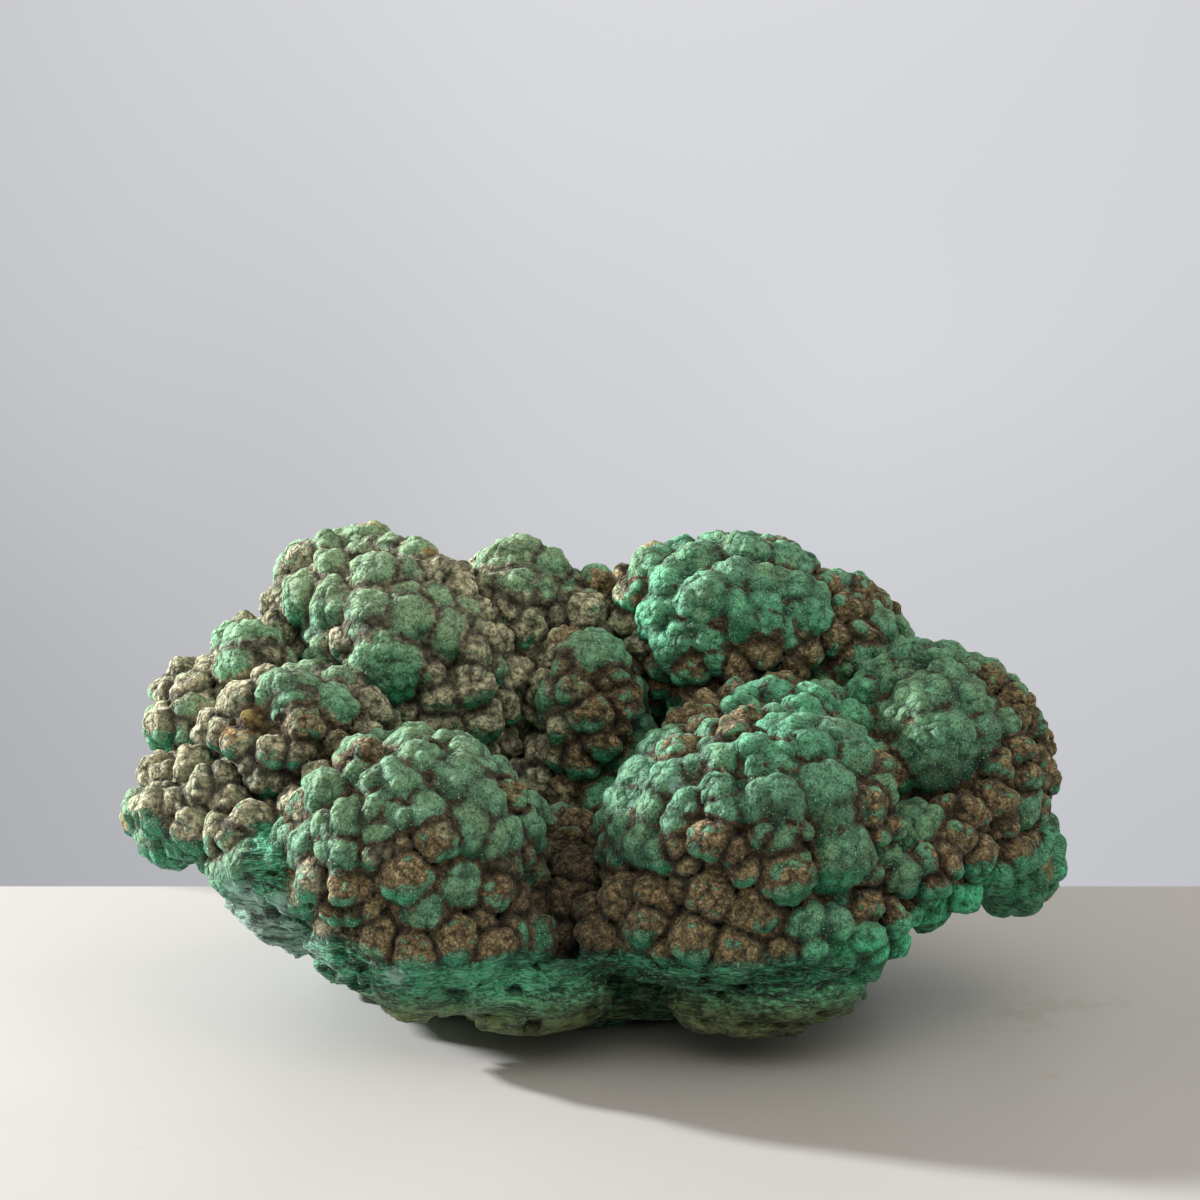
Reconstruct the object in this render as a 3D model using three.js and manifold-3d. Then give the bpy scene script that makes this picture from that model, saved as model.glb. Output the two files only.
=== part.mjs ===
// Malachite specimen: one natural block of botryoidal malachite, grown as a heap of rounded lobes
// that carry smaller round heads. It rests on a flat patch under its middle.
//
// Units are millimetres, +Z is up, +X runs along the block's length and -Y is the show side.
// The origin is on the resting plane, under the centre of the block's length and depth.

import * as THREE from 'three';
import { mergeVertices } from 'three/addons/utils/BufferGeometryUtils.js';
import Module from 'manifold-3d';

const wasm = await Module();
wasm.setup();

// ---------------------------------------------------------------- driving dimensions

const FACET = 11;                  // edge length of the facets on a lobe
const SEAM_WELD = 0.8;             // facets narrower than this along a seam are welded away
const HEAD_SPACING = 23;           // between the middles of two round heads on a lobe
const HEAD_RADIUS = 12.5;
const HEAD_RISE = 4.5;             // how far a head stands out of its lobe
const GOLDEN_ANGLE = Math.PI * (3 - Math.sqrt(5));
const GROUND = 600;                // side of the block that trims the underside flat

// Each lobe is an ellipsoid: [centre x, y, z], [half-sizes x, y, z], roll about Y in degrees.
const LOBES = {
  foot:            [[   2,  18,  14], [110,  76,  20],   0],
  base:            [[   0,  12,  44], [130,  80,  34],   0],
  base_right:      [[  84,   0,  58], [ 84,  84,  28], -14],
  base_left:       [[-100,   0,  62], [ 58,  84,  28],  16],
  core:            [[  10,  46,  60], [104,  58,  40],   0],
  left_tall:       [[ -78,  40, 128], [ 36,  44,  42],   0],
  left_peak:       [[ -94,  50, 146], [ 34,  30,  27],   0],
  left_inner:      [[ -58,  26, 112], [ 25,  30,  42],   0],
  left_shoulder:   [[-132,  30, 120], [ 19,  26,  23],   0],
  left_side:       [[-155,  26,  98], [ 18,  28,  28],   0],
  left_flank:      [[-112, -14, 102], [ 36,  32,  28],   0],
  left_low:        [[-142,  -8,  80], [ 30,  36,  22],   0],
  left_toe:        [[-160,   4,  70], [ 20,  24,  15],   0],
  front_left:      [[ -68, -58,  70], [ 48,  44,  46],   0],
  front_left_toe:  [[ -60, -72,  42], [ 44,  32,  23],   0],
  back_mid:        [[ -28,  66, 139], [ 25,  28,  26],   0],
  back_mid_right:  [[   0,  60, 134], [ 24,  24,  21],   0],
  back_low:        [[ -10,  76, 104], [ 50,  28,  34],   0],
  centre_ball:     [[   0,  14, 104], [ 20,  22,  32],   0],
  back_right:      [[  56,  44, 136], [ 44,  42,  35],   0],
  back_right_horn: [[  28,  48, 146], [ 18,  24,  22],   0],
  back_right_out:  [[  98,  50, 124], [ 27,  32,  29],   0],
  front_right:     [[  60, -50,  79], [ 57,  50,  42], -13],
  front_right_top: [[  68, -16,  98], [ 42,  36,  28],  -6],
  front_right_toe: [[  56, -68,  48], [ 62,  34,  25],   0],
  right_dome:      [[ 132,   2,  92], [ 43,  48,  43],   0],
  right_low:       [[ 122,  -8,  68], [ 46,  54,  28], -20],
  right_tip:       [[ 165,   4,  54], [ 17,  26,  22],   0],
  lip_left:        [[ -62, -84,  25], [ 16,  16,  11],   0],
  lip_mid:         [[ -24, -78,  25], [ 30,  26,  12],   0],
  lip_right:       [[  66, -78,  22], [ 36,  24,  12],  -8],
  foot_left:       [[-112,   8,  41], [ 36,  46,  22],  24],
  rear_left:       [[ -84,  66,  84], [ 46,  40,  42],   0],
  rear_mid:        [[  14,  84,  74], [ 48,  30,  38],   0],
  rear_right:      [[  94,  58,  80], [ 46,  44,  38],   0],
};

// ---------------------------------------------------------------- one lobe

// Points at golden-angle steps over an ellipsoid, one for each round head.
function headPlaces(half) {
  const size = (half.x + half.y + half.z) / 3;
  const count = Math.round(4 * Math.PI * size * size / (HEAD_SPACING * HEAD_SPACING));
  const places = [];
  for (let k = 0; k < count; k += 1) {
    const height = 1 - 2 * (k + 0.5) / count;
    const ring = Math.sqrt(1 - height * height);
    const turn = k * GOLDEN_ANGLE;
    const place = new THREE.Vector3(ring * Math.cos(turn), ring * Math.sin(turn), height);
    places.push(place.multiply(half));
  }
  return places;
}

// How far the heads lift the lobe's skin at a point: each one is a round cap.
function headLift(point, places) {
  let lift = 0;
  for (const place of places) {
    const apart = place.distanceTo(point);
    if (apart < HEAD_RADIUS) {
      const cap = Math.sqrt(HEAD_RADIUS * HEAD_RADIUS - apart * apart);
      lift = Math.max(lift, cap - HEAD_RADIUS + HEAD_RISE);
    }
  }
  return lift;
}

// A lobe is a finely split icosahedron, stretched to its half-sizes, with the heads raised on it.
function lobeGeometry([centre, halfSizes, roll]) {
  const half = new THREE.Vector3(...halfSizes);
  const splits = Math.round(1.1 * (half.x + half.y + half.z) / 3 / FACET);
  const sphere = new THREE.IcosahedronGeometry(1, Math.max(splits, 2));
  sphere.deleteAttribute('normal');
  sphere.deleteAttribute('uv');
  const lobe = mergeVertices(sphere, 1e-5);
  const place = lobe.attributes.position;
  const heads = headPlaces(half);
  const direction = new THREE.Vector3();
  for (let i = 0; i < place.count; i += 1) {
    direction.fromBufferAttribute(place, i);
    const skin = direction.clone().multiply(half);
    const outward = direction.divide(half).normalize();
    const end = skin.clone().addScaledVector(outward, headLift(skin, heads));
    place.setXYZ(i, end.x, end.y, end.z);
  }
  lobe.rotateY(THREE.MathUtils.degToRad(-roll));
  lobe.translate(...centre);
  return lobe;
}

// ---------------------------------------------------------------- joining

function toSolid(geometry) {
  return new wasm.Manifold(new wasm.Mesh({
    numProp: 3,
    vertProperties: new Float32Array(geometry.attributes.position.array),
    triVerts: new Uint32Array(geometry.index.array),
  }));
}

function toGeometry(solid) {
  const mesh = solid.getMesh();
  const geometry = new THREE.BufferGeometry();
  geometry.setAttribute('position', new THREE.BufferAttribute(mesh.vertProperties, 3));
  geometry.setIndex(new THREE.BufferAttribute(mesh.triVerts, 1));
  return geometry;
}

// The ground is a plain block whose top is the resting plane, z = 0.
function groundGeometry() {
  const box = new THREE.BoxGeometry(GROUND, GROUND, GROUND);
  box.translate(0, 0, -GROUND / 2);
  box.deleteAttribute('normal');
  box.deleteAttribute('uv');
  return mergeVertices(box, 1e-5);
}

function blockGeometry() {
  let heap = null;
  for (const lobe of Object.values(LOBES)) {
    const solid = toSolid(lobeGeometry(lobe));
    heap = heap ? heap.add(solid) : solid;
  }
  // Where two lobes cross, the join leaves slivers along the seam, so they are welded away.
  const trimmed = heap.subtract(toSolid(groundGeometry())).asOriginal().simplify(SEAM_WELD);
  const block = toGeometry(trimmed);
  block.computeBoundingBox();
  const middle = block.boundingBox.getCenter(new THREE.Vector3());
  block.translate(-middle.x, -middle.y, -block.boundingBox.min.z);
  block.computeVertexNormals();
  return block;
}

// ---------------------------------------------------------------- the block

const malachite = new THREE.Mesh(
  blockGeometry(),
  new THREE.MeshStandardMaterial({ color: 0x567a60, roughness: 0.85, metalness: 0 }),
);
malachite.name = 'malachite_specimen';

const specimen = new THREE.Group();
specimen.add(malachite);

export default specimen;
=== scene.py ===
# %% [markdown]
# # A malachite specimen
# The real thing is one natural block, about as long as a forearm. Copper-rich water laid it down in
# layers round thousands of tiny seeds, so it is round at every size: big lobes carry heads as wide
# as a thumb, the heads carry knobs as wide as a pea, and the knobs carry a fine grain.
# The lesson follows that growth. It grows a distance field lobe by lobe and head by head, wraps one
# skin round it, notes what grew where, and lets a node material read those notes.

# %% Load the frame
import math

import bpy
import numpy as np
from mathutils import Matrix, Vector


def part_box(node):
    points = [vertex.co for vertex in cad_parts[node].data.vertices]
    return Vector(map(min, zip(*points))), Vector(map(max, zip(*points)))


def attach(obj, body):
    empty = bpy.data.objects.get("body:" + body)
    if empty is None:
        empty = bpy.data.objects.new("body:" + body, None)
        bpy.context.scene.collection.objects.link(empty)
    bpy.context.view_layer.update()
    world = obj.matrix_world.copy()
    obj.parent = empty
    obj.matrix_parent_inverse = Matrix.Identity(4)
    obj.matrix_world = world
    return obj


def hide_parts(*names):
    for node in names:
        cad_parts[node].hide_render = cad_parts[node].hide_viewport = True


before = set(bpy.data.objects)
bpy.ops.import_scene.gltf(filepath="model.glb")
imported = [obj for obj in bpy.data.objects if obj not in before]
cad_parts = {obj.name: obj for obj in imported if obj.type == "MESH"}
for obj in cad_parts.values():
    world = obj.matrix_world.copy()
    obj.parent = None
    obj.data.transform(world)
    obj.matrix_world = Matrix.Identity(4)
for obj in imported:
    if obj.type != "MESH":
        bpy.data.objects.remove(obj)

BLOCK = "malachite_specimen"
block_low, block_high = (np.array(corner) * 1000 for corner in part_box(BLOCK))
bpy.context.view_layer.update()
print("the block's box in millimetres", block_low.round(1), block_high.round(1))

# %% [markdown]
# ## Lobes
# A lobe could be a sphere pulled about by hand. Here each one is an ellipsoid: three half-sizes, a
# middle, and sometimes a roll. They are the same lobes as the solid that stands for the block in
# the frame, so the looks and the solid keep close together.

# %% The heap of lobes, in millimetres
MIDDLE = np.array([0.7, 5.4, 0.0])   # of the heap's box, which the frame keeps at its origin

LOBES = {
    # name: (middle x, y, z), (half-sizes x, y, z), roll about Y in degrees
    "foot":            ((2, 18, 14), (110, 76, 20), 0),
    "base":            ((0, 12, 44), (130, 80, 34), 0),
    "base right":      ((84, 0, 58), (84, 84, 28), -14),
    "base left":       ((-100, 0, 62), (58, 84, 28), 16),
    "core":            ((10, 46, 60), (104, 58, 40), 0),
    "left tall":       ((-78, 40, 128), (36, 44, 42), 0),
    "left peak":       ((-94, 50, 146), (34, 30, 27), 0),
    "left inner":      ((-58, 26, 112), (25, 30, 42), 0),
    "left shoulder":   ((-132, 30, 120), (19, 26, 23), 0),
    "left side":       ((-155, 26, 98), (18, 28, 28), 0),
    "left flank":      ((-112, -14, 102), (36, 32, 28), 0),
    "left low":        ((-142, -8, 80), (30, 36, 22), 0),
    "left toe":        ((-160, 4, 70), (20, 24, 15), 0),
    "front left":      ((-68, -58, 70), (48, 44, 46), 0),
    "front left toe":  ((-60, -72, 42), (44, 32, 23), 0),
    "back mid":        ((-28, 66, 139), (25, 28, 26), 0),
    "back mid right":  ((0, 60, 134), (24, 24, 21), 0),
    "back low":        ((-10, 76, 104), (50, 28, 34), 0),
    "centre ball":     ((0, 14, 104), (20, 22, 32), 0),
    "back right":      ((56, 44, 136), (44, 42, 35), 0),
    "back right horn": ((28, 48, 146), (18, 24, 22), 0),
    "back right out":  ((98, 50, 124), (27, 32, 29), 0),
    "front right":     ((60, -50, 79), (57, 50, 42), -13),
    "front right top": ((68, -16, 98), (42, 36, 28), -6),
    "front right toe": ((56, -68, 48), (62, 34, 25), 0),
    "right dome":      ((132, 2, 92), (43, 48, 43), 0),
    "right low":       ((122, -8, 68), (46, 54, 28), -20),
    "right tip":       ((165, 4, 54), (17, 26, 22), 0),
    "lip left":        ((-62, -84, 25), (16, 16, 11), 0),
    "lip mid":         ((-24, -78, 25), (30, 26, 12), 0),
    "lip right":       ((66, -78, 22), (36, 24, 12), -8),
    "foot left":       ((-112, 8, 41), (36, 46, 22), 24),
    "rear left":       ((-84, 66, 84), (46, 40, 42), 0),
    "rear mid":        ((14, 84, 74), (48, 30, 38), 0),
    "rear right":      ((94, 58, 80), (46, 44, 38), 0),
}
print(len(LOBES), "lobes")

# %% [markdown]
# ## A grid to grow on
# A distance field is a number at every point of space: how far the skin is, negative inside. Round
# things melt into each other in it with one line of arithmetic, which is why it was chosen over
# joining meshes. It is kept on an even grid, and each lobe or head only touches the samples near it.

# %% The grid
STEP = 1.25   # millimetres between samples
MARGIN = 13.0                        # of empty space kept round the block
FAR = 20.0                           # stands for any distance that is far from the skin


class Grid:
    """Evenly spaced sample points that fill a box: point = low + step * index."""

    def __init__(self, low, high, step):
        self.low, self.step = np.array(low, float), step
        self.shape = np.ceil((np.array(high) - self.low) / step).astype(int) + 1
        self.axes = [self.low[i] + step * np.arange(self.shape[i]) for i in range(3)]

    def near(self, middle, reach):
        """The block of samples within reach of a point, and their offsets from it."""
        first = np.floor((middle - reach - self.low) / self.step).astype(int)
        last = np.ceil((middle + reach - self.low) / self.step).astype(int) + 1
        first, last = np.clip(first, 0, self.shape), np.clip(last, 0, self.shape)
        block = tuple(slice(a, b) for a, b in zip(first, last))
        offsets = np.ix_(*(self.axes[i][block[i]] - middle[i] for i in range(3)))
        return block, [o.astype(np.float32) for o in offsets]

    def read(self, values, points):
        """Trilinear: each of the 8 samples round a point counts by how near it is on each axis."""
        place = (points - self.low) / self.step
        corner = np.clip(np.floor(place).astype(int), 0, self.shape - 2)
        part = np.clip(place - corner, 0, 1)
        total = 0.0
        for dx in (0, 1):
            for dy in (0, 1):
                for dz in (0, 1):
                    share = np.abs(1 - dx - part[:, 0]) * np.abs(1 - dy - part[:, 1])
                    share = share * np.abs(1 - dz - part[:, 2])
                    total = total + share * values[corner[:, 0] + dx, corner[:, 1] + dy,
                                                   corner[:, 2] + dz]
        return total

    def slope(self, values, points):
        """Outward direction: the change of the field over one step along each axis, made unit."""
        change = np.stack([self.read(values, points + self.step * axis)
                           - self.read(values, points - self.step * axis)
                           for axis in np.eye(3)], 1)
        return change / (np.linalg.norm(change, axis=1)[:, None] + 1e-9)


grid = Grid(block_low + MIDDLE - MARGIN, block_high + MIDDLE + MARGIN, STEP)
print("samples", grid.shape, "every", STEP, "mm")

# %% [markdown]
# ## Growing the lobes
# Two round things meet in a hard crease if the smaller of their distances is kept. Lowering that
# value a little where the two are nearly equal fills the crease, as mineral does.

# %% Melt the lobes together
LOBE_MELT = 4.0      # millimetres over which two lobes flow into each other
LOBE_REACH = 14.0    # how far from a lobe its distance still matters


def melt(field, block, distance, width):
    """Smooth union: the smaller distance, less (width - gap)^2 / (4 width) where the gap is small."""
    old = field[block]
    gap = np.abs(old - distance)
    field[block] = np.minimum(old, distance) - np.maximum(width - gap, 0) ** 2 / (4 * width)


def lobe_distance(x, y, z, half, roll):
    """Ellipsoid: k0 (k0 - 1) / k1, with k0 the length of p / half and k1 of p / half^2."""
    turn = math.radians(roll)
    across = math.cos(turn) * x - math.sin(turn) * z
    up = math.sin(turn) * x + math.cos(turn) * z
    k0 = np.sqrt((across / half[0]) ** 2 + (y / half[1]) ** 2 + (up / half[2]) ** 2)
    k1 = np.sqrt((across / half[0] ** 2) ** 2 + (y / half[1] ** 2) ** 2 + (up / half[2] ** 2) ** 2)
    return np.where(k0 < 0.05, -min(half), k0 * (k0 - 1) / (k1 + 1e-6))


FILLERS = {     # hollows between lobes that grew shut, in the looks only
    "right fin":   ((158, -2, 70), (17, 30, 22), 0),
    "right keel":  ((138, -14, 56), (34, 40, 14), -22),
    "saddle":      ((-6, 44, 112), (34, 26, 25), 0),
    "saddle left": ((-40, 40, 108), (22, 24, 26), 0),
}
lobe_field = np.full(grid.shape, FAR, np.float32)
for middle, half, roll in [*LOBES.values(), *FILLERS.values()]:
    half = np.array(half, float)
    widest = half if not roll else half[[0, 1, 0]]      # a rolled lobe may stand on end
    block, (x, y, z) = grid.near(np.array(middle, float), widest + LOBE_REACH)
    melt(lobe_field, block, lobe_distance(x, y, z, half, roll), LOBE_MELT)
print("inside the lobes:", round((lobe_field < 0).sum() * STEP ** 3 / 1e6, 2), "litres")

# %% [markdown]
# ## Noise
# Nature's unevenness comes from noise: random numbers on a coarse lattice, joined by smooth steps.
# A hash of the lattice place gives the numbers, so the same block grows every time.

# %% Lattice noise and lattice bumps
def scramble(i, j, k, salt):
    """A number from 0 to 1 for each lattice place: multiply by large primes, mix the bits."""
    i, j, k = (number.astype(np.int64) for number in (i, j, k))
    h = (i * 73856093) ^ (j * 19349663) ^ (k * 83492791)
    h = (h + salt * 2654435761) & 0xFFFFFFFF
    h = ((h ^ (h >> 15)) * 2246822519) & 0xFFFFFFFF
    h = ((h ^ (h >> 13)) * 3266489917) & 0xFFFFFFFF
    return ((h ^ (h >> 16)) & 0xFFFFFF).astype(np.float32) / 0xFFFFFF


def noise(points, size, salt=0):
    """Value noise from 0 to 1: lattice numbers blended by 3 t^2 - 2 t^3 along each axis."""
    place = points / size
    cell = np.floor(place).astype(np.int64)
    t = (place - cell).astype(np.float32)
    t = t * t * (3 - 2 * t)
    total = 0.0
    for dx in (0, 1):
        for dy in (0, 1):
            for dz in (0, 1):
                share = np.abs(1 - dx - t[:, 0]) * np.abs(1 - dy - t[:, 1])
                share = share * np.abs(1 - dz - t[:, 2])
                total = total + share * scramble(*(cell + (dx, dy, dz)).T, salt)
    return total


def bumps(points, size, salt=0):
    """Rounded cells: 1 - (distance to the nearest jittered lattice point / size)^2, not below 0."""
    place = (points / size).astype(np.float32)
    cell = np.floor(place).astype(np.int64)
    nearest = np.full(len(points), 9.0, np.float32)
    for dx in (-1, 0, 1):
        for dy in (-1, 0, 1):
            for dz in (-1, 0, 1):
                i, j, k = (cell + (dx, dy, dz)).T
                away = [i + 0.15 + 0.7 * scramble(i, j, k, salt) - place[:, 0],
                        j + 0.15 + 0.7 * scramble(i, j, k, salt + 1) - place[:, 1],
                        k + 0.15 + 0.7 * scramble(i, j, k, salt + 2) - place[:, 2]]
                nearest = np.minimum(nearest, away[0] ** 2 + away[1] ** 2 + away[2] ** 2)
    return np.maximum(1 - nearest, 0)


def ramp(value, start, end):
    """Smooth step: 0 before start, 1 after end, 3 t^2 - 2 t^3 between."""
    t = np.clip((value - start) / (end - start), 0, 1)
    return t * t * (3 - 2 * t)


# %% [markdown]
# ## Heads
# Each lobe is crowded with round heads. The show side's heads are placed one by one: how far right
# of and above the middle of the view, and how big.
# A line of sight through that point finds where on the lobes the head sits.

# %% The viewer's eye
LOOK_AT = np.array([3.0, 0.0, 157.0])     # the middle of the view, in the heap's millimetres
PITCH = math.radians(11.0)                # the eye looks down a little
EYE_DISTANCE = 1500.0
forward = np.array([0.0, math.cos(PITCH), -math.sin(PITCH)])
rightward = np.array([1.0, 0.0, 0.0])
aloft = np.cross(rightward, forward)
eye = LOOK_AT - forward * EYE_DISTANCE
SIGHT_STARTS = EYE_DISTANCE - 180         # a line of sight is searched from here
SIGHT_LENGTH = 420


def on_skin(spots):
    """Follows the line from the eye through each (right, above) spot to the lobes' skin: the first
    sample under 0.3 mm from it, or the nearest one, moved onto the skin along the slope."""
    spots = np.array(spots, float)
    line = LOOK_AT + spots[:, :1] * rightward + spots[:, 1:2] * aloft - eye
    line /= np.linalg.norm(line, axis=1)[:, None]
    away = SIGHT_STARTS + np.arange(0, SIGHT_LENGTH, 1.0)
    points = eye + line[:, None] * away[None, :, None]
    gap = grid.read(lobe_field, points.reshape(-1, 3)).reshape(len(spots), -1)
    hit = np.where((gap < 0.3).any(1), (gap < 0.3).argmax(1), gap.argmin(1))
    point = points[np.arange(len(spots)), hit]
    for _ in range(4):
        point = point - grid.slope(lobe_field, point) * grid.read(lobe_field, point)[:, None]
    return point


print("the eye stands at", eye.round(1), "in the heap's millimetres")

# %% [markdown]
# The heads are grouped by finish, because the material asks each spot which heads lie near it. Their
# radii run from 4 to 14 mm, and each finish can have any size.

# %% Heads of the show side: (right, above, radius) in millimetres, by finish
HEADS = {
    "green": [
        (-108, 22, 7), (-87, 12, 10), (-75, 3, 5), (-104, -1, 11), (-89, -4, 9), (-62, 1, 7),
        (-91, -11, 7), (-73, -8, 10), (-58, -13, 9), (-66, -24, 5), (-108, -21, 7),
        (-153, -42, 8), (-124, -34, 10), (-115, -34, 8), (-159, -51, 6),
        (-107, -73, 9), (-75, -53, 7), (-69, -61, 8), (-79, -69, 8), (-89, -70, 5), (-53, -69, 10),
        (-46, -76, 10), (-67, -82, 8), (-98, -84, 7), (-87, -81, 5), (-77, -84, 6), (-84, -91, 6),
        (-107, -88, 5), (-106, -98, 5), (-98, -98, 6), (-50, -87, 9), (-38, -92, 10),
        (-36, -103, 8), (-27, -87, 9), (-67, -120, 9), (-54, -111, 8), (-24, -106, 6),
        (-35, 18, 12), (-19, 14, 8), (-33, 5, 9), (-21, 4, 6), (-43, 6, 7), (-10, 8, 6),
        (-12, 2, 7), (-2, -19, 12), (17, 14, 9), (39, 1, 11), (75, 6, 9), (82, 3, 8),
        (72, 17, 10), (55, 20, 10), (79, 15, 7), (93, 11, 9), (45, 22, 9), (52, 9, 8), (63, 8, 8),
        (107, -8, 8), (116, -12, 8), (100, -23, 10), (120, -21, 10), (130, -22, 8), (114, -31, 6),
        (133, -29, 8), (141, -25, 6), (144, -32, 5), (122, -40, 12), (129, -54, 14),
        (131, -64, 8), (144, -38, 8), (149, -50, 6), (150, -55, 5), (157, -47, 5),
        (110, -74, 8), (122, -85, 10), (23, -57, 11), (41, -50, 5), (43, -55, 5), (46, -60, 7),
        (36, -63, 5), (14, -68, 10), (26, -68, 8), (8, -80, 9), (21, -78, 6), (32, -78, 6),
        (29, -86, 6), (45, -73, 6), (47, -80, 6), (9, -89, 8), (15, -93, 8), (23, -97, 7),
        (67, -74, 11), (74, -81, 5), (60, -79, 5), (88, -73, 11), (92, -82, 8), (95, -99, 12),
        (112, -97, 6), (69, -93, 7), (94, -113, 5), (81, -122, 7), (119, -107, 6),
    ],
    "teal": [
        (-112, -12, 5), (-83, -25, 14), (-148, -11, 7), (-136, -14, 10), (-139, -25, 10),
        (-118, -40, 8), (-101, -39, 8), (26, 6, 9), (32, 22, 8), (21, -5, 9), (29, -17, 10),
        (64, -1, 6), (52, -3, 6), (56, -10, 5), (64, -13, 9), (71, -14, 6), (83, -5, 9),
        (77, -5, 5), (79, -13, 5), (41, -15, 5), (44, -24, 5), (59, -35, 8), (67, -35, 7),
        (53, -42, 6), (78, -42, 8), (83, -37, 7), (73, -51, 8), (82, -55, 9), (68, -48, 7),
        (59, -57, 7), (67, -61, 8), (62, -65, 5), (99, -45, 7), (104, -57, 6), (100, -35, 7),
        (6, -98, 7), (157, -110, 8), (165, -121, 5), (142, -126, 5), (127, -115, 5),
    ],
    "brown": [
        (-63, 12, 7), (-116, 16, 6), (-47, -20, 7), (-163, -24, 7), (-88, -41, 8), (-114, -48, 8),
        (-65, -29, 7), (-61, -38, 9), (-62, -49, 9), (-50, -35, 9), (-45, -47, 9), (-45, -14, 7),
        (-75, -44, 6), (-99, -63, 5), (-90, -59, 6), (-99, -55, 5), (-63, -93, 8), (-33, -75, 7),
        (-26, -71, 8), (-15, -73, 6), (-74, -107, 11), (-99, -112, 8), (-102, -118, 6),
        (-95, -120, 5), (-89, -120, 4), (-71, -134, 9), (-84, -130, 7), (-56, -129, 10),
        (-46, -124, 8), (-41, -132, 8), (-40, -112, 9), (-33, -116, 7), (-28, -99, 5),
        (-9, -104, 10), (-12, -115, 9), (-8, -85, 7), (-2, -131, 8), (-15, -129, 7), (0, 8, 6),
        (-13, -26, 7), (6, -31, 7), (-10, -35, 7), (-22, -36, 8), (-3, -45, 10), (9, -40, 8),
        (-24, -44, 6), (-16, -50, 7), (-26, -55, 5), (-17, -60, 7), (-8, -62, 7), (1, -55, 8),
        (8, -49, 5), (-30, -67, 6), (70, 25, 8), (35, -27, 8), (27, -43, 8), (39, -36, 8),
        (22, -33, 5), (63, -20, 8), (55, -28, 7), (80, -21, 7), (75, -26, 6), (103, 6, 8),
        (109, 2, 6), (115, -2, 5), (96, -3, 8), (90, -16, 8), (101, -14, 7), (107, -63, 6),
        (151, -29, 6), (159, -36, 6), (165, -39, 5), (167, -48, 6), (154, -63, 6), (162, -58, 6),
        (165, -68, 6), (114, -67, 7), (142, -81, 8), (135, -79, 6), (153, -77, 8), (138, -92, 7),
        (146, -99, 8), (135, -100, 6), (157, -86, 6), (30, -95, 5), (43, -93, 9), (50, -96, 6),
        (10, -112, 10), (20, -113, 9), (42, -115, 10), (32, -112, 6), (59, -120, 9),
        (72, -107, 10), (62, -91, 5), (77, -89, 4), (107, -91, 5), (37, -131, 9), (17, -125, 7),
        (83, -135, 5), (127, -100, 5),
    ],
    "grey": [
        (-125, -1, 6), (-123, -9, 8), (-99, -17, 6), (-129, -22, 6), (-158, -33, 7),
        (-168, -33, 6), (-143, -36, 6), (-169, -48, 8), (-139, -55, 9), (-134, -63, 10),
        (-145, -70, 8), (-158, -63, 7), (-172, -65, 9), (-153, -71, 8), (-171, -81, 10),
        (-142, -77, 8), (-148, -89, 7), (-127, -60, 8), (-130, -69, 8), (-87, -99, 4),
        (-82, -96, 4), (-75, -95, 4), (-52, 12, 7), (9, 2, 6), (8, -8, 6), (14, -17, 5),
        (-26, -11, 10), (-36, -3, 7), (-16, -8, 7), (-6, -5, 8), (-33, -29, 8),
    ],
    "ochre": [
        (-89, 27, 10), (-70, 18, 9), (-137, -48, 5), (-181, -85, 7), (17, 20, 5), (172, -102, 7),
    ],
}
FINISHES = list(HEADS)
GREEN, TEAL, BROWN, GREY = range(4)     # their places in FINISHES; ochre is never seeded
print({finish: len(heads) for finish, heads in HEADS.items()})

# %% [markdown]
# Nobody can see where the heads of the far side sit, so they are seeded: seeds are thrown at the
# skin, and a seed is kept only where it has room. Middling heads go first, small ones fill the gaps.

# %% Seat the heads, and fill the rest of the skin with more
rng = np.random.default_rng(7)


def seat_more(points, radii, smallest, largest, apart, tries=9000):
    """Throws seeds at the skin and keeps each one that lies at least `apart` of the two radii from
    every head kept so far, so the heads crowd together without hiding each other."""
    lowest, highest = grid.low + MARGIN, grid.low + STEP * (grid.shape - 1) - MARGIN
    seeds = rng.uniform(lowest, highest, (tries * 9, 3))
    seeds = seeds[np.abs(grid.read(lobe_field, seeds)) < 8][:tries]
    for _ in range(5):
        seeds -= grid.slope(lobe_field, seeds) * grid.read(lobe_field, seeds)[:, None]
    sizes = rng.uniform(smallest, largest, len(seeds))
    points, radii = list(points), list(radii)
    for seed, size in zip(seeds, sizes):
        room = np.linalg.norm(np.array(points) - seed, axis=1) - apart * (np.array(radii) + size)
        if room.min() > 0 and abs(grid.read(lobe_field, seed[None])[0]) < 0.5:
            points.append(seed)
            radii.append(size)
    return np.array(points), np.array(radii)


placed = np.array([spot for heads in HEADS.values() for spot in heads], float)
placed_finish = np.repeat(np.arange(len(FINISHES)), [len(heads) for heads in HEADS.values()])
head_points, head_radii = on_skin(placed[:, :2]), placed[:, 2]
head_points, head_radii = seat_more(head_points, head_radii, 6.0, 10.5, apart=0.80)
head_points, head_radii = seat_more(head_points, head_radii, 4.6, 6.6, apart=0.84)
print(len(placed), "heads placed,", len(head_points) - len(placed), "seeded")

# %% [markdown]
# The heads without a given finish choose one from broad noise: green where it is high, teal where it
# is highest, brown or grey where it is low, so the back is as patchy as the front.

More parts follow.
